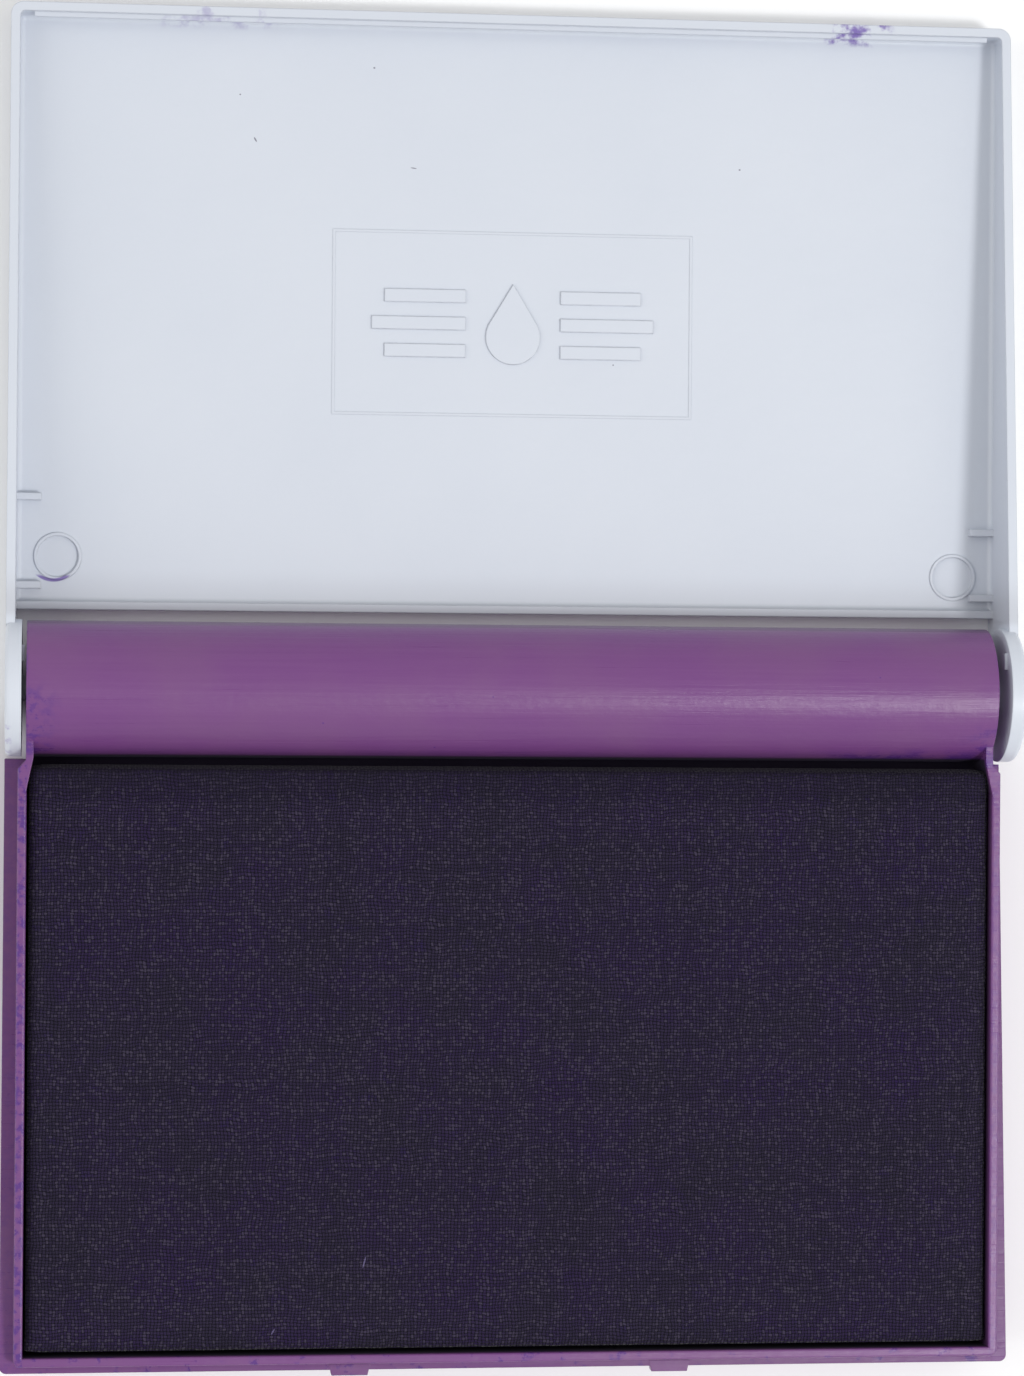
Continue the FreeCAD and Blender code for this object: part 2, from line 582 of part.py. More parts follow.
def make_pad_stack(doc):
    """Card, two felt plies and the woven cover whose edges fold under the card."""
    card_low = "well_floor + cloth_thickness"
    lower_low = f"{card_low} + card_thickness"
    upper_low = f"{lower_low} + lower_felt"

    layers = []
    for name, low, rise in (("backing_card", card_low, "card_thickness"),
                            ("lower_felt_ply", lower_low, "lower_felt"),
                            ("upper_felt_ply", upper_low, "upper_felt")):
        layer = make_block(doc, f"{name}_block", "cloth_thickness", low, rise)
        layers.append(make_placed_copy(doc, name, layer))

    outer = make_block(doc, "cover_outer", "0", "well_floor", "pad_height")
    rounded = doc.addObject("Part::Fillet", "cover_rounded")
    rounded.Base = outer
    doc.recompute()
    edges = [number for number, edge in enumerate(outer.Shape.Edges, start=1)
             if is_upright(edge) or lies_at(edge, "Z", outer.Shape.BoundBox.ZMax)]
    radius = value("cloth_edge_radius")
    rounded.Edges = [(number, radius, radius) for number in edges]
    filling = make_block(doc, "cover_filling", "cloth_thickness", card_low,
                         "pad_height - 2 * cloth_thickness")
    opening = make_block(doc, "cover_opening", "fold_width", "well_floor", "2 * cloth_thickness")
    hollow = doc.addObject("Part::Cut", "cover_hollow")
    hollow.Base = rounded
    hollow.Tool = filling
    folded = doc.addObject("Part::Cut", "cover_folded")
    folded.Base = hollow
    folded.Tool = opening
    layers.append(make_placed_copy(doc, "ink_cloth", folded))
    return layers


def make_placed_copy(doc, name, source):
    """The finished piece: the source shape under the shared placement."""
    piece = doc.addObject("Part::Compound", name)
    piece.Label = name
    piece.Links = [source]
    place(piece)
    return piece


def check_document(doc, pieces):
    for item in doc.Objects:
        if "Invalid" in item.State or "Error" in item.State:
            raise RuntimeError(f"{item.Name} failed: {item.State}")
    for piece in pieces:
        shape = piece.Shape
        if shape.isNull() or not shape.isValid():
            raise RuntimeError(f"{piece.Label} has a broken shape")
        if len(shape.Solids) != 1:
            raise RuntimeError(f"{piece.Label} has {len(shape.Solids)} solids")


def main():
    doc = FreeCAD.newDocument("ink_pad")
    make_sheet(doc)
    pieces = [make_base(doc), make_lid(doc)] + make_pad_stack(doc)
    doc.recompute()
    check_document(doc, pieces)
    os.makedirs("parts", exist_ok=True)
    for piece in pieces:
        shape = piece.Shape if piece.Shape.ShapeType == "Solid" else piece.Shape.Solids[0]
        shape.exportStep(f"parts/{piece.Label}.step")
        box = shape.BoundBox
        print(f"{piece.Label}: {box.XLength:.2f} x {box.YLength:.2f} x {box.ZLength:.2f},"
              f" volume {shape.Volume:.0f}")


main()
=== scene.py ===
# %% [markdown]
# # An open ink pad, finished in Blender
# The engineering model gives this pad its sizes: a shallow violet tray with a round hinge barrel,
# a white snap lid that lies open behind it, and a stack of card and felt under an inked cloth.
# The moulded parts are kept as they come, because their shapes are right, and they get detailed
# plastics. The soft parts are modelled again here, because cloth and felt are never flat blocks.

# %% Load the model
import math

import bmesh
import bpy
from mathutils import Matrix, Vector


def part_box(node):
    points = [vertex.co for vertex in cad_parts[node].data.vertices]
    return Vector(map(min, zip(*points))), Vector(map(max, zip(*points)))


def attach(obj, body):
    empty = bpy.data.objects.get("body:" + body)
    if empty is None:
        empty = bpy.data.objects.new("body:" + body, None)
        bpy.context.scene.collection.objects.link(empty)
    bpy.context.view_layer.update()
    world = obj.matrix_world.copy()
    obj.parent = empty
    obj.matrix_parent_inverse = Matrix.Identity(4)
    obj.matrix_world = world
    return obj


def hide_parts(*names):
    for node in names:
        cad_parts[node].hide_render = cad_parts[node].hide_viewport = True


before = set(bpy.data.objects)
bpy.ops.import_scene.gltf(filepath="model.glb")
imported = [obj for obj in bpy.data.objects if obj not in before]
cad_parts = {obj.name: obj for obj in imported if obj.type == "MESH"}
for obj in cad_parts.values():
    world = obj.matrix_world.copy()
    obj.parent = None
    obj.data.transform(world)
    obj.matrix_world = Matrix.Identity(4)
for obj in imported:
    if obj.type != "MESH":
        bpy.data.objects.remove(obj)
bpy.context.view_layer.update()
MM = 0.001
TO_MM = 1000
print("nodes:", sorted(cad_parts))

# %% [markdown]
# ## The camera
# The pad is looked at from almost straight above, with a long lens, and from a little to the left,
# so that the inner face of the lid's right wall shows and the left one doesn't. A camera that
# stands off to one side and leans back to the middle gives that. The place and lean are known in
# millimetres and radians. No lens shift is needed.

# %% Place the camera
CAMERA_PLACE = (-51.45, -1.44, 446.0)
CAMERA_LEAN = (0.0027, -0.1168, 0.0075)
CAMERA_LENS = 100

camera_data = bpy.data.cameras.new("camera")
camera_data.lens = CAMERA_LENS
camera_data.clip_start, camera_data.clip_end = 0.01, 20
camera = bpy.data.objects.new("camera", camera_data)
camera.location = Vector(CAMERA_PLACE) * MM
camera.rotation_euler = CAMERA_LEAN
bpy.context.scene.collection.objects.link(camera)
bpy.context.scene.camera = camera
print("camera at", [round(v, 4) for v in camera.location])

# %% [markdown]
# ## Light and floor
# Product light is soft and mostly even, with a little more from one side so that shapes read. A
# white world gives the even part. A small lamp high up in front and to the right draws the gloss
# line along the barrel, which brightens towards its right end. Two broad, weaker ones, low on the
# left and on the right, light the inner faces of the lid's walls. The floor is a plain white
# sheet. The plain colour transform keeps whites white.

# %% Make the lamps and the floor
WORLD_STRENGTH = 0.6
FLOOR_REACH = 1.5
LAMPS = [
    # name, place in metres, width in metres, power in watts
    ("side_lamp", (-0.75, 0.05, 0.6), 0.8, 2.3),
    ("right_lamp", (0.60, 0.00, 0.50), 0.8, 0.8),
    ("front_lamp", (0.50, -0.31, 1.05), 0.20, 5.6)]


def add_lamp(name, place, width, power):
    """A square lamp at place, facing the middle of the pad."""
    data = bpy.data.lights.new(name, "AREA")
    data.size = width
    data.energy = power
    lamp = bpy.data.objects.new(name, data)
    lamp.location = place
    lamp.rotation_euler = (-Vector(place)).to_track_quat("-Z", "Y").to_euler()
    bpy.context.scene.collection.objects.link(lamp)
    return lamp


bpy.context.scene.view_settings.view_transform = "Standard"
world = bpy.data.worlds.new("studio")
world.use_nodes = True
world.node_tree.nodes["Background"].inputs["Color"].default_value = (1, 1, 1, 1)
world.node_tree.nodes["Background"].inputs["Strength"].default_value = WORLD_STRENGTH
bpy.context.scene.world = world
for lamp in LAMPS:
    add_lamp(*lamp)

floor_form = bmesh.new()
bmesh.ops.create_grid(floor_form, x_segments=8, y_segments=8, size=FLOOR_REACH)
floor_mesh = bpy.data.meshes.new("floor")
floor_form.to_mesh(floor_mesh)
floor_form.free()
floor = bpy.data.objects.new("floor", floor_mesh)
bpy.context.scene.collection.objects.link(floor)

# %% [markdown]
# ## Writing shaders like sums
# A procedural finish is mostly arithmetic: noise here, minus a mask there. Node by node that takes
# a page, so a small class wraps a socket and lets Python's own operators add the Math nodes.
# A second class holds the material, and its one method makes any other node from its type, its
# settings and its sockets. Positions are read in millimetres, which suits a thing of this size.

# %% A socket that behaves like a number
class Wire:
    """An output socket of a material. Sums and products with it add Math nodes."""

    def __init__(self, finish, socket):
        self.finish, self.socket = finish, socket

    def __add__(self, other):
        return self.finish.math("ADD", self, other)

    def __sub__(self, other):
        return self.finish.math("SUBTRACT", self, other)

    def __rsub__(self, other):
        return self.finish.math("SUBTRACT", other, self)

    def __mul__(self, other):
        return self.finish.math("MULTIPLY", self, other)

    def __truediv__(self, other):
        return self.finish.math("DIVIDE", self, other)

    def __pow__(self, other):
        return self.finish.math("POWER", self, other)

    def __mod__(self, other):
        return self.finish.math("FLOORED_MODULO", self, other)

    def __abs__(self):
        return self.finish.math("ABSOLUTE", self)

    def __floor__(self):
        return self.finish.math("FLOOR", self)

    __radd__ = __add__
    __rmul__ = __mul__


# %% A material and its nodes
class Finish:
    """A material with one Principled shader, and short ways to add nodes to it."""

    def __init__(self, name):
        self.material = bpy.data.materials.new(name)
        self.material.use_nodes = True
        self.tree = self.material.node_tree
        self.shader = self.tree.nodes["Principled BSDF"]
        self.spot = self.node("TexCoord", output="Object")
        self.place = self.node("VectorMath", {"operation": "SCALE"}, {0: self.spot, "Scale": TO_MM})
        self.x, self.y, self.z = self.parts(self.place)

    def node(self, kind, settings=None, sockets=None, output=0):
        made = self.tree.nodes.new("ShaderNode" + kind)
        for name, value in (settings or {}).items():
            setattr(made, name, value)
        for key, value in (sockets or {}).items():
            socket = made.inputs[key] if isinstance(key, int) else next(
                s for s in made.inputs if key in (s.identifier, s.name))
            self.feed(socket, value)
        return Wire(self, made.outputs[output])

    def feed(self, socket, value):
        if isinstance(value, Wire):
            self.tree.links.new(value.socket, socket)
        else:
            socket.default_value = value

    def math(self, operation, *values):
        return self.node("Math", {"operation": operation}, dict(enumerate(values)))

    def parts(self, vector):
        first = self.node("SeparateXYZ", sockets={0: vector})
        return [Wire(self, s) for s in first.socket.node.outputs]

    def most(self, a, b):
        return self.math("MAXIMUM", a, b)

    def step(self, value, start, end):
        """A soft step, 0 at start and 1 at end."""
        return self.node(
            "MapRange", {"interpolation_type": "SMOOTHSTEP"}, {0: value, 1: start, 2: end})

    def stretch(self, x, y, z):
        """Positions in millimetres, scaled, so that noise on them is drawn out."""
        return self.node("VectorMath", {"operation": "MULTIPLY"}, {0: self.place, 1: (x, y, z)})

    def noise(self, scale, detail=2, rough=0.5, vector=None):
        return self.node("TexNoise", {}, {
            "Vector": vector or self.place, "Scale": scale, "Detail": detail, "Roughness": rough})

    def mix(self, factor, a, b):
        """Colour a where factor is 0 and b where it is 1."""
        return self.node("Mix", {"data_type": "RGBA"}, {
            "Factor_Float": factor, "A_Color": a, "B_Color": b}, output=2)

    def oval(self, x, y, wide, tall, turn=0):
        """1 in a soft-edged oval on the plan, 0 outside it. Turn is in degrees."""
        cos, sin = math.cos(math.radians(turn)), math.sin(math.radians(turn))
        along = ((self.x - x) * cos + (self.y - y) * sin) / (wide / 2)
        across = ((self.y - y) * cos - (self.x - x) * sin) / (tall / 2)
        return self.step(along * along + across * across, 1.0, 0.35)

    def paint(self, colour, roughness, height=None, depth=0, edge=0, **constants):
        """Feeds the shader. Height, depth and edge, the rounding of sharp edges, are millimetres."""
        self.feed(self.shader.inputs["Base Color"], colour)
        self.feed(self.shader.inputs["Roughness"], roughness)
        rounded = edge and self.node("Bevel", {"samples": 4}, {"Radius": edge * MM})
        if height:
            sockets = {"Height": height, "Distance": depth * MM, "Strength": 1.0}
            rounded = self.node("Bump", {}, {**sockets, **({"Normal": rounded} if edge else {})})
        if rounded:
            self.feed(self.shader.inputs["Normal"], rounded)
        for name, value in constants.items():
            self.shader.inputs[name.replace("_", " ")].default_value = value
        return self.material


print("shader helpers ready")

# %% The floor's finish
paper = Finish("white_sweep")
paper.paint(
    paper.mix(paper.noise(0.01), (0.93, 0.93, 0.93, 1), (0.96, 0.96, 0.96, 1)), 0.9)
floor_mesh.materials.append(paper.material)
print("floor finish:", paper.material.name)

# %% [markdown]
# ## Violet ink
# An ink pad that has been used carries its ink about: a wash of it on the rims, specks on the
# lid, a thin smear where the barrel meets the cloth. Its colours are defined once, with those of the
# other small marks. The marks are masks of noise, cut down by where hands and spills put them.

# %% Ink colours and marks
INK = (0.075, 0.022, 0.21, 1)
# painted shade: near black for the well round the cloth, seen in the gaps
WELL_SHADE_BLACK = (0.007, 0.003, 0.018, 1)
INK_ON_WHITE = (0.12, 0.045, 0.36, 1)
# a darker line painted along the back of the barrel
BACK_LINE_TONE = (0.075, 0.02, 0.09, 1)
PALE_DOT = (0.6, 0.5, 0.65, 1)
# painted shade: the grey that the lid's inner floor darkens to by the hinge
HINGE_SHADE_GREY = (0.40, 0.40, 0.43, 1)
DIRT = (0.12, 0.11, 0.16, 1)


def blotches(finish, size, amount, hard=0.06, detail=4):
    """Irregular marks of about size millimetres. Amount, 0 to 1, is how much they cover."""
    cut = 0.72 - 0.4 * amount
    return finish.step(finish.noise(1 / size, detail, 0.6), cut - hard, cut + hard)


def specks(finish, spacing, share, width):
    """Small round dots: one in each cell of the spacing, for that share of the cells."""
    scale = 1 / spacing
    cell = {"Vector": finish.place, "Scale": scale}
    near = finish.node("TexVoronoi", {}, cell, "Distance")
    tone = finish.node("TexVoronoi", {}, cell, "Color")
    chosen = finish.step(finish.parts(tone)[0], share, share - 0.01)
    return finish.step(near, width * scale / 2, width * scale / 4) * chosen


print("ink:", INK)

# %% [markdown]
# ## The violet moulding
# The tray is one piece of violet polystyrene. Its barrel was drawn out of the mould along its
# length, so it is streaked that way, and handling has left it satin and not glossy. The colour is
# even but for a cloudy wash. Ink has run along the rims, into the corners beside the lid's ears,
# and along the right part of the line where the barrel meets the cloth. The well round the cloth,
# seen only in the gaps, is painted near black as painted shade.

# %% Colour of the violet moulding
violet = Finish("satin_violet_plastic")
streaks = violet.noise(1, 5, 0.62, violet.stretch(0.035, 1.9, 1.9))
fine_streaks = violet.noise(1, 3, 0.6, violet.stretch(0.12, 9, 9))
cloud = violet.noise(0.07, 3)
violet_tone = violet.mix(streaks, (0.150, 0.042, 0.190, 1), (0.190, 0.066, 0.225, 1))
violet_tone = violet.mix(violet.step(cloud, 0.35, 0.75), violet_tone, (0.180, 0.068, 0.205, 1))
print("violet base ready")

# %% Places on the violet moulding
RIM_SIDE = 55.5         # inner face of the side rims, from the middle
RIM_FRONT = -75.8       # inner face of the front rim
RIM_TOP = 12.6
BARREL_FRONT = -8.0     # where the barrel's front face stands upright
BACK_LINE_PLACE = 7.5              # where a darker line is painted, behind the barrel

rim_zone = violet.step(abs(violet.x), RIM_SIDE - 0.2, RIM_SIDE + 0.2)
on_rim = violet.step(violet.z, RIM_TOP - 1.0, RIM_TOP - 0.3)
left_zone = violet.step(violet.x, -20, -56)
front_zone = violet.step(violet.y, RIM_FRONT + 0.8, RIM_FRONT)
end_zone = violet.step(abs(violet.x), 51.0, 55.4) * violet.step(
    violet.y, BARREL_FRONT - 1.0, BARREL_FRONT + 1.0)
low_front = violet.step(violet.y, BARREL_FRONT + 1.8, BARREL_FRONT + 0.2) * violet.step(
    violet.y, BARREL_FRONT - 1.2, BARREL_FRONT - 0.4)
# painted shade: the well round the cloth, seen only in the gaps, is painted near black
in_well = violet.step(abs(violet.x), RIM_SIDE + 0.3, RIM_SIDE - 0.2) * violet.step(
    violet.z, RIM_TOP - 0.1, RIM_TOP - 1.2) * violet.step(
    violet.y, BARREL_FRONT + 0.4, BARREL_FRONT + 0.1) * violet.step(
    violet.y, RIM_FRONT - 0.3, RIM_FRONT)
# a darker line painted along the back of the barrel
back_line = violet.step(violet.y, BACK_LINE_PLACE - 0.65, BACK_LINE_PLACE - 0.3) * violet.step(violet.y, BACK_LINE_PLACE + 0.7, BACK_LINE_PLACE + 0.1)
print("places ready")

# %% Ink on the violet moulding
rim_marks = rim_zone * blotches(violet, 0.8, 0.50, 0.09) * (0.35 + 0.65 * left_zone)
rim_marks = rim_marks * (0.25 + 0.75 * on_rim)
front_marks = front_zone * blotches(violet, 2.2, 0.22)
# At the left end the marks reach 4 mm further up the barrel than at the right end.
end_marks = end_zone * blotches(violet, 1.3, 0.46, 0.12) * violet.step(violet.y - 4 * left_zone, -3, -6)
seam_marks = low_front * blotches(violet, 3.4, 0.6, 0.15) * (0.15 + 0.85 * violet.step(violet.x, 34, 42))
dots = specks(violet, 3.2, 0.22, 0.32) * 0.8
ink_on_violet = violet.most(
    violet.most(rim_marks, front_marks), violet.most(violet.most(end_marks, seam_marks), dots))
violet_tone = violet.mix(ink_on_violet * 0.8, violet_tone, INK)
violet_tone = violet.mix(back_line * 0.75, violet_tone, BACK_LINE_TONE)
# painted shade in the well
violet_tone = violet.mix(in_well * 0.98, violet_tone, WELL_SHADE_BLACK)
pale_dots = specks(violet, 6.5, 0.12, 0.28)
violet_tone = violet.mix(pale_dots * 0.5, violet_tone, PALE_DOT)
violet_height = fine_streaks * 0.6 + streaks * 1.2 + violet.noise(0.9, 3) * 1.0
violet.paint(
    violet_tone, 0.17 + 0.2 * streaks + 0.08 * cloud - 0.06 * ink_on_violet + 0.6 * in_well,
    violet_height, depth=0.03, edge=0.22, IOR=1.5)
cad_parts["base_tray"].data.materials[0] = violet.material
print("tray finish:", violet.material.name)

# %% [markdown]
# ## The white moulding
# The lid is moulded in a cool, slightly blue white with a satin face. It is clean but used: faint
# clouds in the tone, a few dark specks on its floor, and violet ink on the front bead, in one of
# the pin marks and on the left ear.

# %% Colour of the white moulding
white = Finish("satin_white_plastic")
white_cloud = white.noise(0.05, 3)
white_grain = white.noise(1.6, 3)
white_tone = white.mix(white_cloud, (0.600, 0.640, 0.715, 1), (0.640, 0.675, 0.740, 1))
white_tone = white.mix(white_grain * 0.18, white_tone, (0.67, 0.70, 0.76, 1))
print("white base ready")

# %% Ink and specks on the white moulding
RING_PLACE = (-52.75, 14.97)
RING_RADIUS = 2.75
LID_REAR = 9.0          # rear edge of the lid's floor, by the hinge
BEAD = 77.0             # snap bead on the lid's front wall
SPECKS = [  # x, y, width, height in millimetres and turn in degrees
    (-29.8, 63.7, 0.75, 0.22, 120), (-11.3, 60.8, 0.85, 0.16, -8), (-16.0, 72.4, 0.3, 0.25, 0),
    (27.3, 61.5, 0.3, 0.22, 0), (-31.6, 68.9, 0.25, 0.2, 0), (12.4, 38.2, 0.22, 0.2, 0)]

on_inside = white.step(white.z, 0.5, 1.0)
from_ring = ((white.x - RING_PLACE[0]) ** 2 + (white.y - RING_PLACE[1]) ** 2) ** 0.5
ring_ink = on_inside * white.step(abs(from_ring - RING_RADIUS), 0.26, 0.12) * white.step(
    white.y, RING_PLACE[1] - 2.0, RING_PLACE[1] - 2.4)
bead_zone = white.step(white.y, BEAD - 0.8, BEAD)
bead_ink = bead_zone * blotches(white, 2.0, 0.30, 0.1) * white.most(
    white.oval(41, BEAD, 9, 9), white.oval(-34, BEAD, 16, 4) * 0.4)
ear_ink = white.step(white.y, -3.4, -4.6) * white.step(white.x, -57, -57.6) * blotches(
    white, 1.2, 0.35, 0.1) * 0.5
ink_on_white = white.most(white.most(ring_ink, bead_ink), ear_ink)
white_tone = white.mix(ink_on_white * 0.85, white_tone, INK_ON_WHITE)

# painted shade: the lid's inner floor darkens towards the hinge edge, where the barrel shades it
painted_hinge_shade = white.step(white.y, LID_REAR + 5.0, LID_REAR + 0.4) * white.step(
    white.y, LID_REAR - 1.5, LID_REAR - 0.5)
white_tone = white.mix(painted_hinge_shade * on_inside * 0.35, white_tone, HINGE_SHADE_GREY)

dirt = specks(white, 9, 0.10, 0.22) * 0.5
for speck in SPECKS:
    dirt = white.most(dirt, white.oval(*speck) * 0.8)
white_tone = white.mix(dirt * on_inside, white_tone, DIRT)
white.paint(
    white_tone, 0.36 + 0.14 * white_cloud,
    white.noise(0.35, 2) * 2 + white_grain * 0.25, depth=0.03, edge=0.2,
    IOR=1.5, Coat_Weight=0.1, Coat_Roughness=0.3)
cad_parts["lid"].data.materials[0] = white.material
print("lid finish:", white.material.name)

# %% [markdown]
# ## Shaping the soft pieces
# The felts and the cloth over them are one cushion 4 to 6 mm thick. A cushion could be drawn with
# modifiers alone, but cloth settles into a better shape by itself, so each piece starts as a
# rounded box a little too small, is remeshed evenly, and is blown up by a short cloth simulation.
# The solver is tuned for things the size of a seat, so the work is done at five times the size
# and shrunk back. No point may move more than a cap, and the underside stays on what is below it.

# %% A rounded box to start from
WORK_SCALE = 5


def rounded_box(low, high, radius, segments):
    """A closed bmesh box between two corners in millimetres, with all its edges rounded."""
    form = bmesh.new()
    bmesh.ops.create_cube(form, size=1)
    bmesh.ops.scale(form, vec=high - low, verts=form.verts)
    bmesh.ops.translate(form, vec=(low + high) / 2, verts=form.verts)
    bmesh.ops.bevel(
        form, geom=form.edges[:], offset=radius, offset_type="OFFSET", affect="EDGES",
        segments=segments, profile=0.5, material=-1)
    return form


# %% Swelling it like a cushion
def swell(name, low, high, radius, voxel, cap, pressure=4, frames=20):
    """A swollen cushion that fills low to high. Its mesh is in millimetres."""
    start = rounded_box(low + Vector((cap, cap, 0)), high - Vector((cap, cap, cap)), radius, 3)
    bmesh.ops.scale(start, vec=(WORK_SCALE * MM,) * 3, verts=start.verts)
    mesh = bpy.data.meshes.new(name)
    start.to_mesh(mesh)
    start.free()
    cushion = bpy.data.objects.new(name, mesh)
    bpy.context.scene.collection.objects.link(cushion)
    remesh = cushion.modifiers.new("even", "REMESH")
    remesh.mode = "VOXEL"
    remesh.voxel_size = voxel * WORK_SCALE * MM
    apply_modifiers(cushion)
    rest = [v.co.copy() for v in cushion.data.vertices]
    held = cushion.vertex_groups.new(name="held")
    under = (low.z + radius) * WORK_SCALE * MM
    held.add([i for i, at in enumerate(rest) if at.z < under], 1.0, "REPLACE")
    settle(cushion, pressure, frames)
    reach = cap * WORK_SCALE * MM
    for vertex, at in zip(cushion.data.vertices, rest):
        moved = vertex.co - at
        if moved.length > reach:
            vertex.co = at + moved.normalized() * reach
    fill_box(cushion.data, low, high)
    return cushion


def fill_box(mesh, low, high):
    """Scales and moves the mesh so that it just fills low to high, in millimetres."""
    ends = [[pick(v.co[i] for v in mesh.vertices) for i in range(3)] for pick in (min, max)]
    for vertex in mesh.vertices:
        for i in range(3):
            share = (vertex.co[i] - ends[0][i]) / (ends[1][i] - ends[0][i])
            vertex.co[i] = low[i] + share * (high[i] - low[i])


def apply_modifiers(thing):
    """Replaces the object's mesh by what its modifiers make of it."""
    graph = bpy.context.evaluated_depsgraph_get()
    made = bpy.data.meshes.new_from_object(thing.evaluated_get(graph))
    thing.modifiers.clear()
    thing.data = made


def settle(thing, pressure, frames):
    """Runs a cloth simulation with pressure and no gravity, and keeps its last frame."""
    cloth = thing.modifiers.new("cloth", "CLOTH")
    cloth.settings.quality = 5
    cloth.settings.mass = 0.3
    cloth.settings.tension_stiffness = cloth.settings.compression_stiffness = 20
    cloth.settings.bending_stiffness = 2
    cloth.settings.use_pressure = True
    cloth.settings.uniform_pressure_force = pressure
    cloth.settings.vertex_group_mass = "held"
    cloth.settings.effector_weights.gravity = 0
    cloth.collision_settings.use_collision = False
    for number in range(1, frames + 1):
        bpy.context.scene.frame_set(number)
    apply_modifiers(thing)
    bpy.context.scene.frame_set(1)


def box_mm(node):
    """The node's low and high corners in millimetres."""
    return [corner * TO_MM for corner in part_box(node)]


def finish_piece(piece, body, material):
    """Shrinks the mesh to metres, smooths its shading, and gives it its finish and its body."""
    for vertex in piece.data.vertices:
        vertex.co *= MM
    piece.data.materials.clear()
    piece.data.materials.append(material)
    for face in piece.data.polygons:
        face.use_smooth = True
    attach(piece, body)


print("cushion helpers ready")

# %% [markdown]
# ## The two felts
# Inside the cloth are two layers of wool felt that hold the ink. They never show while the pad
# is whole, but they give it its thickness. Each is a flat cushion with soft edges, soaked nearly
# black, and the finish is a mat of short fibres.

# %% Felt finish and pieces
felt = Finish("inked_felt")
fibres = felt.noise(1, 6, 0.7, felt.stretch(2.2, 2.2, 5))
tufts = felt.noise(0.6, 4, 0.6)
felt.paint(
    felt.mix(fibres, (0.012, 0.005, 0.03, 1), (0.07, 0.03, 0.15, 1)),
    0.8 + 0.15 * tufts, fibres + tufts, depth=0.12, Sheen_Weight=0.3)

FELT_EDGE = 0.6         # rounding of the edges
FELT_VOXEL = 1.4        # size of a mesh face
FELT_CROWNS = {"lower_felt_ply": 0.25, "upper_felt_ply": 0.3}

for node, crown in FELT_CROWNS.items():
    low, high = box_mm(node)
    ply = swell("soaked_" + node, low, high, FELT_EDGE, FELT_VOXEL, crown)
    finish_piece(ply, "tray", felt.material)
    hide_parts(node)
    print(ply.name, len(ply.data.polygons), "faces")

# %% [markdown]
# ## The card
# A plain board stiffens the pad from below. It is a flat thing and its shape is right as it is,
# so it only gets a finish: grey-brown pulp with long fibres and ink that has soaked in from above.

# %% Card finish
card = Finish("backing_board")
pulp = card.noise(1, 5, 0.65, card.stretch(0.9, 3.2, 3.2))
soaked = card.step(card.noise(0.12, 3), 0.42, 0.6)
card_tone = card.mix(pulp, (0.25, 0.20, 0.15, 1), (0.42, 0.36, 0.29, 1))
card.paint(card.mix(soaked * 0.8, card_tone, INK), 0.85 + 0.1 * pulp, pulp, depth=0.03)
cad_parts["backing_card"].data.materials[0] = card.material
print("card finish:", card.material.name)

# %% [markdown]
# ## The inked cloth
# The cloth is a plain weave, cut larger than the pad, drawn over the felts and folded under the
# card, where it is held. It follows a cushion that is blown up like the felts, and the middle of
# the underside is then cut away, which leaves the folds. A wall of 0.35 mm makes it a cloth.
# The threads are finer than a mesh can carry, so they are drawn on a map of the unfolded cloth.

# %% Draw the cover over the felts
COVER_THICK = 0.35
COVER_EDGE = 0.5        # rounding of the edges
COVER_VOXEL = 1.1       # size of a mesh face
COVER_CROWN = 0.3       # how far the swelling may move a point
COVER_RISE = Vector((0, 0, 0.2))
FOLD_UNDER = 8.0
PAD_HEIGHT = 6.0        # how far the cloth runs down each side
EASE = Vector((0.4, 0.2, 0))

cover_low, cover_high = box_mm("ink_cloth")
cover_low, cover_high = cover_low - EASE, cover_high + EASE
cover = swell(
    "inked_cover", cover_low, cover_high + COVER_RISE, COVER_EDGE, COVER_VOXEL, COVER_CROWN)
form = bmesh.new()
form.from_mesh(cover.data)
fold_low, fold_high = (
    cover_low + Vector((FOLD_UNDER, FOLD_UNDER, 0)), cover_high - Vector((FOLD_UNDER, FOLD_UNDER, 0)))
for point, normal in (
        (fold_low, (1, 0, 0)), (fold_high, (1, 0, 0)), (fold_low, (0, 1, 0)), (fold_high, (0, 1, 0))):
    bmesh.ops.bisect_plane(
        form, geom=form.verts[:] + form.edges[:] + form.faces[:], plane_co=point, plane_no=normal)
hidden = []
for face in form.faces:
    at = face.calc_center_median()
    if (face.normal.z < -0.5 and fold_low.x < at.x < fold_high.x and fold_low.y < at.y < fold_high.y):
        hidden.append(face)
bmesh.ops.delete(form, geom=hidden, context="FACES")
print("cover faces", len(form.faces), "cut away", len(hidden))

# %% Lay out the unfolded cloth
unfolded = form.loops.layers.uv.new("unfolded")
for face in form.faces:
    n, at = face.normal, face.calc_center_median()
    to_x = min(at.x - cover_low.x, cover_high.x - at.x)
    to_y = min(at.y - cover_low.y, cover_high.y - at.y)
    for loop in face.loops:
        p = loop.vert.co
        down = max(0, cover_high.z - p.z)
        if n.z > 0.6:
            u, v = p.x, p.y
        elif to_x < to_y:
            under = min(p.x - cover_low.x, cover_high.x - p.x) if n.z < -0.6 else 0
            u, v = math.copysign(cover_high.x + down + under, at.x), p.y
        else:
            under = min(p.y - cover_low.y, cover_high.y - p.y) if n.z < -0.6 else 0
            edge = cover_high.y if at.y > (cover_low.y + cover_high.y) / 2 else cover_low.y
            u, v = p.x, edge + math.copysign(down + under, edge - at.y if n.z < -0.6 else n.y)
        loop[unfolded].uv = (u, v)
form.to_mesh(cover.data)
form.free()
print("unfolded map laid out")

# %% Weave finish
THREAD = 0.37

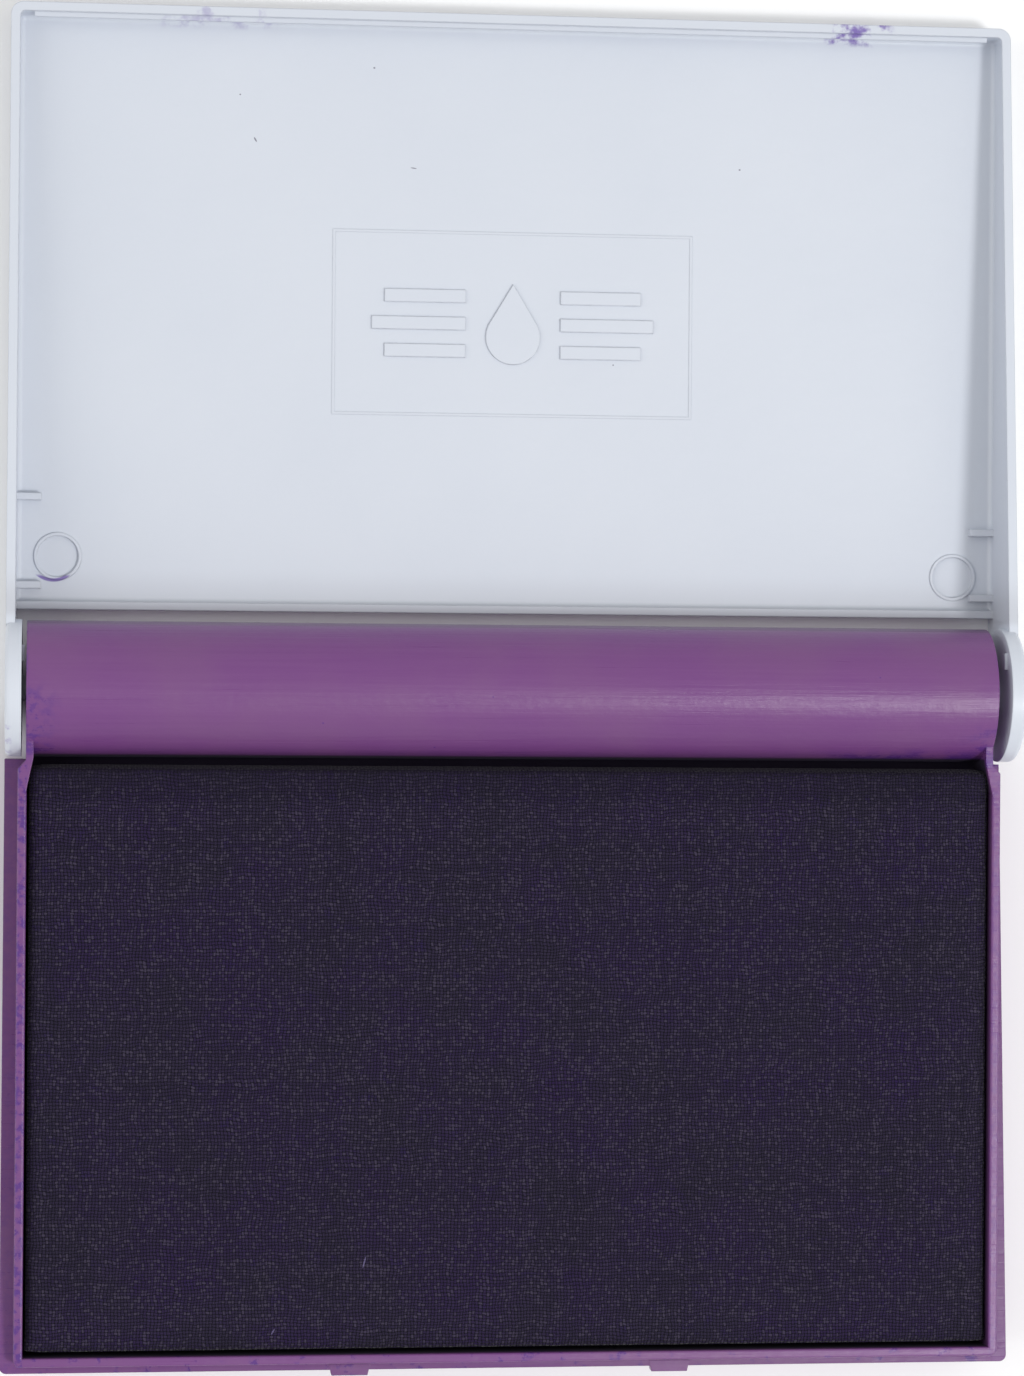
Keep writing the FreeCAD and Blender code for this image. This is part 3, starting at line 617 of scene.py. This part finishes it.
weave = Finish("inked_weave")
sheet_place = weave.node("UVMap", {"uv_map": "unfolded"})
wander = weave.noise(0.28, 2, 0.5, sheet_place)
wobble = weave.noise(2.6, 1, 0.5, sheet_place)
u, v, _ = weave.parts(sheet_place)
u = (u + wander * 0.9 + wobble * 0.10) / THREAD
v = (v - wander * 0.8 + wobble * 0.12) / THREAD
across, along = (u % 1) * 2 - 1, (v % 1) * 2 - 1
warp, weft = 1 - across * across, 1 - along * along
over = (math.floor(u) + math.floor(v)) % 2
hump = over * warp * (0.55 + 0.45 * weft) + (1 - over) * weft * (0.55 + 0.45 * warp)
print("thread pitch", THREAD, "mm")

# %% Colours of the thread
THREAD_DARK = (0.0165, 0.0125, 0.030, 1)
THREAD_VIOLET = (0.0185, 0.0085, 0.045, 1)
THREAD_WET = (0.017, 0.006, 0.064, 1)
THREAD_PALE = (0.030, 0.021, 0.052, 1)
THREAD_GLINT = (0.066, 0.055, 0.088, 1)
THREAD_GAP = (0.0025, 0.0015, 0.006, 1)
# painted shade colour for the cloth's edges and the barrel's shadow
THREAD_SHADE = (0.003, 0.0015, 0.009, 1)
LINT = (0.2, 0.17, 0.33, 1)
SIDE_SHADE_HEIGHTS = (11.6, 10.4)      # painted shade: the sides darken between these heights, down into the gaps by the rims
REAR_CREVICE_SHADE = (-9.9, -9.3)      # painted shade in the crevice in front of the barrel, between these places
BARREL_SHADOW_REACH = (-15.0, -9.5)     # and a paler painted shadow of the barrel starts further in front
print("thread colours ready")

# %% Colour of the weave
def chance(finish, value, seed):
    """A random number from 0 to 1 for each whole value."""
    return finish.node("TexWhiteNoise", {"noise_dimensions": "1D"}, {"W": value + seed})


crossing = weave.node("CombineXYZ", {}, {0: math.floor(u), 1: math.floor(v)})
glint = weave.node("TexWhiteNoise", {"noise_dimensions": "2D"}, {"Vector": crossing})
thread_tone = chance(weave, math.floor(u), 0.5) * 0.5 + chance(weave, math.floor(v), 70.5) * 0.5
patch = weave.step(weave.noise(0.085, 4, 0.6, sheet_place), 0.36, 0.66)
wet = weave.step(weave.noise(0.5, 3, 0.6, sheet_place), 0.55, 0.72)
thread_colour = weave.mix(patch, THREAD_DARK, THREAD_VIOLET)
thread_colour = weave.mix(wet * 0.5, thread_colour, THREAD_WET)
thread_colour = weave.mix(thread_tone * 0.6, thread_colour, THREAD_PALE)
thread_colour = weave.mix(weave.step(glint, 0.62, 1.0) * 0.55, thread_colour, THREAD_GLINT)
weave_colour = weave.mix(weave.step(hump, 0.15, 0.8), THREAD_GAP, thread_colour)
# painted shade: the sides and the rear edge darken in the gaps by the rims and the barrel, and a paler
# painted shadow of the barrel lies further in front
painted_edge_shade = weave.most(weave.step(weave.z, *SIDE_SHADE_HEIGHTS), weave.step(weave.y, *REAR_CREVICE_SHADE)) * 0.85
painted_edge_shade = weave.most(painted_edge_shade, weave.step(weave.y, *BARREL_SHADOW_REACH) * 0.4)
weave_colour = weave.mix(painted_edge_shade, weave_colour, THREAD_SHADE)
lint = weave.most(weave.oval(-17.0, -65.3, 1.6, 0.2, 75), weave.oval(-27.3, -73.1, 0.9, 0.2, 60))
weave_colour = weave.mix(lint * 0.55, weave_colour, LINT)
weave.paint(
    weave_colour, 0.72 + 0.2 * glint, hump, depth=0.10,
    Sheen_Weight=0.08, Sheen_Roughness=0.4, Specular_IOR_Level=0.15)
print("weave finish:", weave.material.name)

# %% Give the cover its wall
finish_piece(cover, "tray", weave.material)
wall = cover.modifiers.new("cloth_wall", "SOLIDIFY")
wall.thickness = COVER_THICK * MM
wall.offset = -1
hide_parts("ink_cloth")
flat_sides = 2 * (PAD_HEIGHT + FOLD_UNDER)
cover_flat = [(cover_high[i] - cover_low[i] + flat_sides) * MM for i in (0, 1)]
print("flat cloth", [round(side, 4) for side in cover_flat], "metres")
